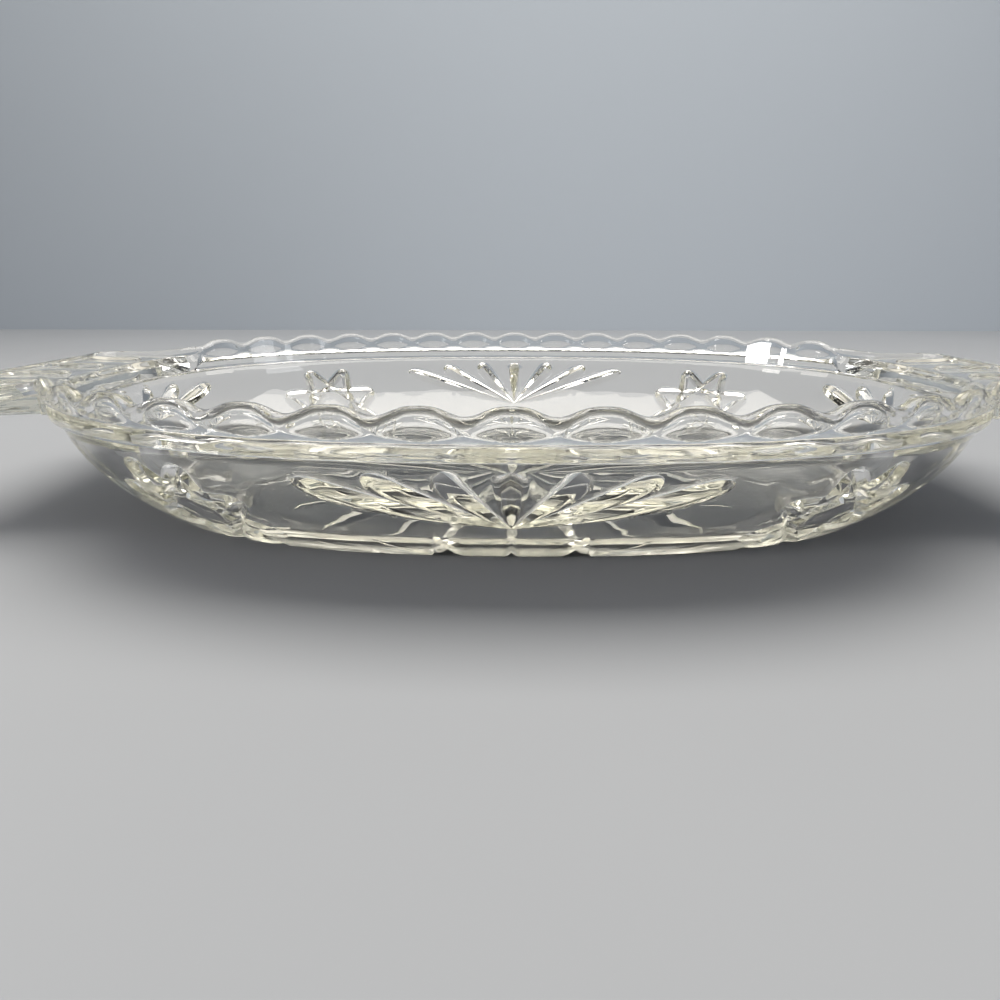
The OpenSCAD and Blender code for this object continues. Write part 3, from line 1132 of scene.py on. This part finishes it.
@dataclass
class PressedBody:
    """The tray without its tabs and cuts: floor, wall, shoulder and collar in one skin."""

    rim: OvalRim
    wall: SlopedWall
    collar: CollarSizes = field(default_factory=CollarSizes)
    wall_thick: float = 3.9
    floor_thick: float = 5.0
    floor_round: float = 5.0
    floor_heel: float = 1.2
    heel_inset: float = 0.6
    floor_border: float = 1.5
    foot_bevel: float = 0.8
    root_width: float = 66.0
    bevel_start: float = 0.8
    bevel_end: float = 3.6
    bevel_fall: float = 1.9
    ledge_gap: float = 0.25
    shelf_slope: float = 0.5
    shelf_fall: float = 0.08
    inner_start: float = 0.6
    scallop_steps: int = 20
    slope_steps: int = 8
    end_steps: int = 22
    foot_steps: int = 3
    wall_steps: int = 18
    ledge_steps: int = 13
    shoulder_steps: int = 6
    inner_steps: int = 12
    heel_steps: int = 9

    @cached_property
    def handle_start(self) -> float:
        """Place along the rim where the handle starts."""
        return self.rim.along_at_y(self.root_width / 2)

    @property
    def scallop_end(self) -> float:
        """Place along the rim where the last scallop ends."""
        return self.handle_start - self.collar.slope

    @property
    def handle_level(self) -> float:
        """Level of the rim at the handles."""
        return self.collar.height - self.collar.handle_drop

    def stations(self) -> list[tuple[int, int, float]]:
        """Gives the stations round the tray.

        Returns:
            For each the signs of X and Y and the place along the rim.
        """
        side = round(self.collar.scallops * self.scallop_steps / 2)
        run = self.rim.quarter - self.handle_start
        quarter = [self.scallop_end * part for part in parts(side)[:-1]]
        slope = parts(self.slope_steps)[:-1]
        quarter += [self.scallop_end + self.collar.slope * part for part in slope]
        quarter += [self.handle_start + run * part for part in parts(self.end_steps)]
        there, back = quarter[:0:-1], quarter[:-1]
        turns = ((1, 1, there), (-1, 1, back), (-1, -1, there), (1, -1, back))
        return [(x, y, along) for x, y, places in turns for along in places]

    def outer_rows(self) -> list[Spot]:
        """Gives the section of the outer wall.

        Returns:
            Its spots, from under the floor up to the ledge.
        """
        wall, bevel = self.wall, self.foot_bevel
        foot, above = wall.spot(wall.ledge_level), wall.ledge_level - bevel
        under = (foot[0] + bevel, foot[1] + bevel, 0.0)
        rows = [(under[0] + self.floor_border, under[1] + self.floor_border, 0.0)]
        rows += [bend(part, under, foot, wall.spot(above)) for part in parts(self.foot_steps)]
        return rows + [wall.spot(above * (1 - part)) for part in parts(self.wall_steps)[1:]]

    def collar_rows(self) -> list[tuple[Spot, float, float]]:
        """Gives the section of the collar's outside and its lip.

        Returns:
            Its spots, each with its share of the dips and its height in the prints.
        """
        sizes, ledge = self.collar, self.wall.ledge_level
        roll, lip, blank = sizes.bead / 2, sizes.lip / 2, sizes.no_print
        seat = self.wall.ledge_inset - self.ledge_gap
        rows = [(even(seat, ledge + sizes.overlap), 0.0, blank)]
        for cosine, sine in arc(-1, 1, sizes.bead_steps):
            inset = sizes.lean + sizes.bead_out * (1 - cosine)
            rows.append((even(inset, ledge + roll + roll * sine), 0.0, blank))
        base, top = ledge + sizes.bead, sizes.height - lip
        rows.append((even(sizes.lean + sizes.groove, base + sizes.groove_level), 0.0, blank))
        for part in parts(sizes.neck_steps):
            flare = sizes.lean * (1 - part) ** sizes.neck_flare
            hollow = sizes.groove * sizes.groove_share * (1 - part) ** sizes.groove_fade
            level = base + sizes.neck + (top - base - sizes.neck) * part
            rows.append((even(flare + hollow, level), part, sizes.print_height(level)))
        for cosine, sine in arc(0, 2, sizes.lip_steps)[1:]:
            inset, level = lip * (1 - cosine), top + lip * sine
            height = sizes.print_height(level) if inset <= lip else blank
            rows.append((even(inset, level), 1.0, height))
        return rows

    def plain_rows(self, count: int) -> list[Spot]:
        """Gives the rim's section at a handle.

        Args:
            count: Number of spots in the scalloped section.

        Returns:
            As many spots.
        """
        ledge, level, inset = self.wall.ledge_level, self.handle_level, self.wall.ledge_inset
        rows = [even(inset * (1 - part), ledge) for part in parts(self.ledge_steps)]
        rows[0] = even(inset, ledge + self.collar.overlap)
        up = count - len(rows) - self.collar.lip_steps
        rows += [even(0.0, ledge + (level - ledge) * part) for part in parts(up)[1:]]
        for part in parts(self.collar.lip_steps)[1:]:
            inset = self.bevel_end * part
            share = (inset - self.bevel_start) / (self.bevel_end - self.bevel_start)
            rows.append(even(inset, level - self.bevel_fall * smooth(share)))
        return rows

    def inner_rows(self) -> list[Spot]:
        """Gives the section of the inside.

        Returns:
            Its spots, from the lip down to the floor.
        """
        sizes, wall, thick = self.collar, self.wall, self.wall_thick
        inside, rise = sizes.lean + sizes.lip, sizes.shoulder_rise
        shelf, edge = wall.ledge_level + rise, inside + sizes.shoulder_width
        turns = arc(0, 1, self.shoulder_steps)
        rows = [even(inside + rise * (1 - cos), shelf + rise * (1 - sin)) for cos, sin in turns]
        rows += [even(edge - self.shelf_slope, shelf), even(edge, shelf - self.shelf_fall)]
        first, floor_drop = self.inner_start, wall.ledge_level - self.floor_thick
        run = floor_drop - self.floor_round - first
        rows += [wall.spot(first + run * part, thick) for part in parts(self.inner_steps)]
        heel, (end, side, _) = rows[-1], wall.spot(floor_drop, thick)
        toe = (end + self.floor_round, side + self.floor_round, self.floor_thick)
        end, side, _ = wall.spot(floor_drop - self.floor_heel, thick)
        corner = (end + self.heel_inset, side + self.heel_inset, self.floor_thick)
        rows += [bend(part, heel, corner, toe) for part in parts(self.heel_steps)[1:]]
        return rows + [(toe[0] + self.floor_border, toe[1] + self.floor_border, self.floor_thick)]

    def build(self, material: Material) -> Object:
        """Builds the skin and lets the scallop tree shape its collar.

        Args:
            material: The glass.

        Returns:
            The body.
        """
        collar, blank = self.collar_rows(), self.collar.no_print
        plain = self.plain_rows(len(collar))
        outer = [(spot, 0.0, blank) for spot in self.outer_rows()]
        inner_lip, *inner = [(spot, 0.0, blank) for spot in self.inner_rows()]
        stations, rows = self.stations(), []
        for sign_x, sign_y, along in stations:
            angle = self.rim.angle_at(along)
            mix = smooth((along - self.scallop_end) / self.collar.slope)
            drawn = Vector(self.rim.xy(angle, 1, 1)) - Vector(self.rim.xy(angle))
            inward = Vector((sign_x * drawn.x, sign_y * drawn.y, 0.0)).normalized()
            middle = []
            for (spot, dip, height), flat in zip(collar, plain):
                mixed = tuple(a + (b - a) * mix for a, b in zip(spot, flat))
                middle.append((mixed, dip * (1 - mix), height))
            middle.append((inner_lip[0], 1 - mix, blank))
            for (end, side, level), dip, height in outer + middle + inner:
                x, y = self.rim.xy(angle, end, side)
                point = Vector((sign_x * x, sign_y * y, level))
                rows.append((point, min(along, self.scallop_end), dip, height, inward))
        points, *columns = zip(*rows)
        body = mesh_object("pressed_body", points, self._faces(len(stations), len(points)))
        for name, values in zip(("along", "dip", "print", "inward"), columns):
            write_attribute(body.data, name, values)
        self.scallop_tree().run(
            body,
            material,
            Pitch=2 * self.scallop_end / self.collar.scallops,
            Scallop_Depth=self.collar.scallop_depth * MM,
            Print_Depth=self.collar.print_depth * MM,
            Print_Share=self.collar.print_share,
        )
        turn_out(body.data)
        log.info("pressed body: %d faces", len(body.data.polygons))
        return body

    @staticmethod
    def _faces(stations: int, count: int) -> list[tuple[int, ...]]:
        """Gives the foot, the floor and the skin between them.

        Args:
            stations: Number of stations round the tray.
            count: Number of points at all of them.

        Returns:
            The faces, as places in the list of points.
        """
        size = count // stations
        faces = [tuple(range(0, count, size)), tuple(range(count - 1, 0, -size))]
        for low in range(0, count, size):
            for a in range(low, low + size - 1):
                b = (a + size) % count
                faces.append((a, b, b + 1, a + 1))
        return faces

    def scallop_tree(self) -> GeometryTree:
        """Builds the tree that dips the lip between scallops and presses a thumbprint into each.

        Returns:
            The tree.
        """
        sizes = ("Pitch", "Scallop Depth", "Print Depth", "Print Share")
        tree = GeometryTree("scalloped_collar", sizes)
        combine, inputs = tree.math, tree.inputs
        turns = combine("DIVIDE", tree.attribute("along"), inputs["Pitch"])
        wave = combine("ABSOLUTE", combine("SINE", combine("MULTIPLY", turns, math.pi)))
        fall = combine("POWER", wave, self.collar.scallop_power)
        fall = combine("MULTIPLY", fall, inputs["Scallop Depth"])
        fall = combine("MULTIPLY", fall, tree.attribute("dip"))
        down = tree.node("ShaderNodeCombineXYZ", Z=combine("MULTIPLY", fall, -1.0))
        aside = combine("SUBTRACT", turns, combine("ROUND", turns))
        aside = combine("ABSOLUTE", combine("DIVIDE", aside, inputs["Print Share"]))
        height = combine("ABSOLUTE", tree.attribute("print"))
        away = combine("ADD", combine("POWER", aside, 2.0), combine("POWER", height, 2.0))
        oval = combine("MAXIMUM", combine("SUBTRACT", 1.0, away), 0.0)
        hollow = combine("POWER", oval, self.collar.print_power)
        hollow = combine("MULTIPLY", hollow, inputs["Print Depth"])
        inward = tree.attribute("inward", "FLOAT_VECTOR")
        pressed = tree.node("ShaderNodeVectorMath", inward, setting="SCALE", Scale=hollow)
        shifts = down.outputs["Vector"], pressed.outputs["Vector"]
        total = tree.node("ShaderNodeVectorMath", *shifts, setting="ADD").outputs["Vector"]
        moved = tree.node("GeometryNodeSetPosition", Geometry=inputs["Geometry"], Offset=total)
        tree.close(moved.outputs["Geometry"])
        return tree


@dataclass
class RelishTray:
    """The whole tray: the body joined to its tabs, then cut with fans, stars and rays."""

    glass: GrainyGlass = field(default_factory=GrainyGlass)
    overrun: float = 1.2
    crease: float = 22.0
    lip_probe: float = 0.5

    def build(self) -> Object:
        """Returns:
            The tray's only piece.
        """
        material = self.glass.make()
        rim = OvalRim()
        body = PressedBody(rim, SlopedWall(rim))
        tray = body.build(material)
        added = bpy.data.collections.new("added_glass")
        removed = bpy.data.collections.new("cut_glass")
        self._add_tabs(body, material, added)
        self._add_cuts(body, material, removed)
        self._combine(tray, added, "UNION")
        self._combine(tray, removed, "DIFFERENCE")
        tray.name = tray.data.name = "relish_tray"
        self._finish(tray, material)
        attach(tray, BODY)
        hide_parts(*GLASS_NODES)
        return tray

    def _add_tabs(self, body: PressedBody, material: Material, holder: Collection) -> None:
        """Builds both tabs with their borders and ribs.

        Args:
            body: The body that they are joined to.
            material: The glass.
            holder: The collection for them.
        """
        rim, collar, last = body.rim, body.collar, body.scallop_end
        tabs = TabHandles(rim, body.handle_level, body.wall.ledge_level)
        lip = collar.lip / 2
        angles = [rim.angle_at(place) for place in (last - self.lip_probe, last)]
        before, here = (Vector((*rim.xy(angle, lip, lip), 0.0)) for angle in angles)
        heading = (here - before).normalized()
        axis = here + UP * (collar.height - collar.scallop_depth - lip)
        ribs = SweptPaths("tab_ribs", Section.ROUND)
        borders = SweptPaths("tab_borders", Section.ROUND)
        for side in (1, -1):
            tabs.build(side, holder)
            tabs.add_ribs(ribs, side)
            tabs.add_border(borders, side, axis, heading)
        ribs.build(material, holder, Radius=tabs.rib_radius)
        borders.build(material, holder, Radius=tabs.border_radius)

    def _add_cuts(self, body: PressedBody, material: Material, holder: Collection) -> None:
        """Builds the cutting solids of the fans, stars and rays.

        Args:
            body: The body that they cut.
            material: The glass.
            holder: The collection for them.
        """
        wall, quarter = body.wall, body.rim.quarter
        fans, stars, rays = FanCuts(wall), StarCuts(wall), RayCuts(wall)
        petals = SweptPaths("fan_petals", Section.MITRE)
        for middle in (0.0, quarter, 2 * quarter, -quarter):
            fans.add(petals, middle)
        bars = SweptPaths("star_bars", Section.MITRE)
        for middle in (stars.place, -stars.place):
            stars.add(bars, middle)
            stars.add(bars, 2 * quarter - middle)
        beams = SweptPaths("floor_rays", Section.MITRE)
        rays.add(beams)
        for paths, cuts in ((petals, fans), (bars, stars), (beams, rays)):
            sizes = {"Width": cuts.width, "Depth": cuts.depth, "Overrun": self.overrun}
            paths.build(material, holder, **sizes)

    @staticmethod
    def _combine(tray: Object, others: Collection, operation: str) -> None:
        """Joins a collection of solids to the tray, or cuts them out of it.

        Args:
            tray: The tray.
            others: The solids, which are removed afterwards.
            operation: UNION or DIFFERENCE.
        """
        bpy.context.scene.collection.children.link(others)
        modifier = tray.modifiers.new(others.name, "BOOLEAN")
        modifier.operation = operation
        modifier.solver = "MANIFOLD"
        modifier.operand_type = "COLLECTION"
        modifier.collection = others
        settle(tray)
        for spent in list(others.objects):
            bpy.data.objects.remove(spent)
        bpy.data.collections.remove(others)
        log.info("%s: %d faces", operation, len(tray.data.polygons))

    def _finish(self, tray: Object, material: Material) -> None:
        """Leaves one material, smooth skins and sharp creases on the tray.

        Args:
            tray: The tray.
            material: The glass.
        """
        mesh = tray.data
        for name in ("along", "dip", "print", "inward", "share", "out"):
            if name in mesh.attributes:
                mesh.attributes.remove(mesh.attributes[name])
        mesh.materials.clear()
        mesh.materials.append(material)
        work = bmesh.new()
        work.from_mesh(mesh)
        limit = math.radians(self.crease)
        for face in work.faces:
            face.smooth = True
            face.material_index = 0
        for edge in work.edges:
            edge.smooth = len(edge.link_faces) == 2 and edge.calc_face_angle(0.0) < limit
        open_edges = sum(1 for edge in work.edges if len(edge.link_faces) != 2)
        volume = work.calc_volume(signed=True) * CM3_IN_M3
        log.info("open edges: %d, volume %.1f cm3", open_edges, volume)
        work.to_mesh(mesh)
        work.free()
        weighted = tray.modifiers.new("even_normals", "WEIGHTED_NORMAL")
        weighted.keep_sharp = True
        settle(tray)


@dataclass(frozen=True)
class SoftLamp:
    """A soft lamp that faces the tray, with sizes in metres, watts and degrees."""

    name: str
    place: Spot
    size: tuple[float, float]
    power: float
    color: tuple[float, float, float]
    spread: float = 180.0

    def hang(self) -> None:
        """Hangs the lamp."""
        data = bpy.data.lights.new(self.name, "AREA")
        data.shape = "RECTANGLE"
        data.size, data.size_y = self.size
        data.energy = self.power
        data.color = self.color
        data.spread = math.radians(self.spread)
        lamp = bpy.data.objects.new(self.name, data)
        lamp.location = self.place
        lamp.rotation_euler = (-Vector(self.place)).to_track_quat("-Z", "Y").to_euler()
        bpy.context.scene.collection.objects.link(lamp)


LAMPS = (
    SoftLamp("ceiling_soft", (0.0, 0.10, 0.80), (1.0, 0.6), 6.5, (1.0, 0.965, 0.90)),
    SoftLamp("window_soft", (-0.85, -0.50, 0.24), (0.2, 0.24), 0.42, (1.0, 0.97, 0.93), 60.0),
    SoftLamp("front_soft", (0.85, -0.75, 0.5), (0.3, 0.4), 1.4, (0.97, 0.98, 1.0)),
)
TABLE_PAINT = MattePaint(
    "pale_table_paint", (0.52, 0.535, 0.56, 1.0), (0.48, 0.495, 0.52, 1.0), 0.85, 9.0
)
WALL_PAINT = MattePaint(
    "pale_wall_paint", (0.60, 0.65, 0.71, 1.0), (0.56, 0.61, 0.67, 1.0), 0.9, 1.5
)


@dataclass(frozen=True)
class Studio:
    """The pale table, the wall behind it, the room round them and the camera, in metres."""

    half_length: float = 2.4
    table_front: float = -1.6
    table_back: float = 0.55
    wall_foot: float = -0.3
    wall_top: float = 0.36
    air_gap: float = 0.00015
    camera_place: Spot = (0.0007, -0.1712, 0.0527)
    camera_turn: Spot = (71.98, 0.0, 1.35)
    lens: float = 24.84
    sensor: float = 36.0
    clip: tuple[float, float] = (0.005, 20.0)
    overhead: Color = (1.0, 0.95, 0.84, 1.0)
    distance: Color = (0.42, 0.44, 0.47, 1.0)
    dusk: Color = (0.05, 0.05, 0.055, 1.0)
    fill: Color = (0.18, 0.185, 0.195, 1.0)
    skylight: Spot = (0.0, 0.55, 0.835)
    skylight_fade: tuple[float, float] = (0.55, 0.90)
    distance_fade: tuple[float, float] = (0.20, 0.38)

    def build(self) -> None:
        """Builds everything round the tray."""
        front, back = (self.table_front, -self.air_gap), (self.table_back, -self.air_gap)
        foot, top = (self.table_back, self.wall_foot), (self.table_back, self.wall_top)
        self._surface("pale_table", front, back, TABLE_PAINT)
        self._surface("pale_wall", foot, top, WALL_PAINT)
        self._camera()
        self._world()
        for lamp in LAMPS:
            lamp.hang()

    def _surface(
        self, name: str, first: tuple[float, float], last: tuple[float, float], paint: MattePaint
    ) -> None:
        """Builds a flat stage surface between two long edges.

        Args:
            name: Its name.
            first: Y and Z of its first edge.
            last: Y and Z of its last edge.
            paint: Its finish.
        """
        half = self.half_length
        corners = [(-half, *first), (half, *first), (half, *last), (-half, *last)]
        surface = mesh_object(name, [Vector(corner) / MM for corner in corners], [(0, 1, 2, 3)])
        surface.data.materials.append(paint.make())

    def _camera(self) -> None:
        """Sets the camera where the photograph was taken from."""
        data = bpy.data.cameras.new("photo_camera")
        data.lens = self.lens
        data.sensor_width = self.sensor
        data.clip_start, data.clip_end = self.clip
        camera = bpy.data.objects.new("photo_camera", data)
        camera.location = self.camera_place
        camera.rotation_euler = [math.radians(turn) for turn in self.camera_turn]
        bpy.context.scene.collection.objects.link(camera)
        bpy.context.scene.camera = camera

    def _world(self) -> None:
        """Lights matt surfaces evenly, and shows other rays a bright patch in a dim room."""
        world = bpy.data.worlds.new("room_light")
        world.use_nodes = True
        tree = NodeTree(world.node_tree)
        dim = world.node_tree.nodes["Background"]
        tree.fill(dim, Color=self.fill)
        way = tree.node("ShaderNodeTexCoord").outputs["Generated"]
        rise = tree.node("ShaderNodeSeparateXYZ", way).outputs["Z"]
        height = tree.remap(rise, self.distance_fade, setting="SMOOTHSTEP")
        walls = tree.blend(height, self.distance, self.dusk)
        toward = tree.node("ShaderNodeVectorMath", way, self.skylight, setting="DOT_PRODUCT")
        patch = tree.remap(toward.outputs["Value"], self.skylight_fade, setting="SMOOTHSTEP")
        seen = tree.node("ShaderNodeBackground", Color=tree.blend(patch, walls, self.overhead))
        path = tree.node("ShaderNodeLightPath").outputs
        any_seen = path["Is Camera Ray"]
        for ray in ("Is Glossy Ray", "Is Transmission Ray"):
            any_seen = tree.math("MAXIMUM", any_seen, path[ray])
        shades = dim.outputs["Background"], seen.outputs["Background"]
        shown = tree.node("ShaderNodeMixShader", any_seen, *shades)
        tree.fill(world.node_tree.nodes["World Output"], Surface=shown.outputs["Shader"])
        bpy.context.scene.world = world


def set_view() -> None:
    """Leaves colours as they are written, and lets light pass all the walls of the cut glass."""
    scene = bpy.context.scene
    scene.view_settings.view_transform = "Standard"
    scene.cycles.max_bounces = GLASS_BOUNCES
    scene.cycles.transmission_bounces = GLASS_BOUNCES
    scene.cycles.glossy_bounces = GLASS_BOUNCES
    scene.cycles.caustics_reflective = False
    scene.cycles.caustics_refractive = False


def main() -> None:
    """Builds the tray and the studio."""
    logging.basicConfig(level=logging.INFO, format="%(name)s: %(message)s")
    set_view()
    tray = RelishTray().build()
    log.info("%s: %d faces", tray.name, len(tray.data.polygons))
    Studio().build()


if __name__ == "__main__":
    main()
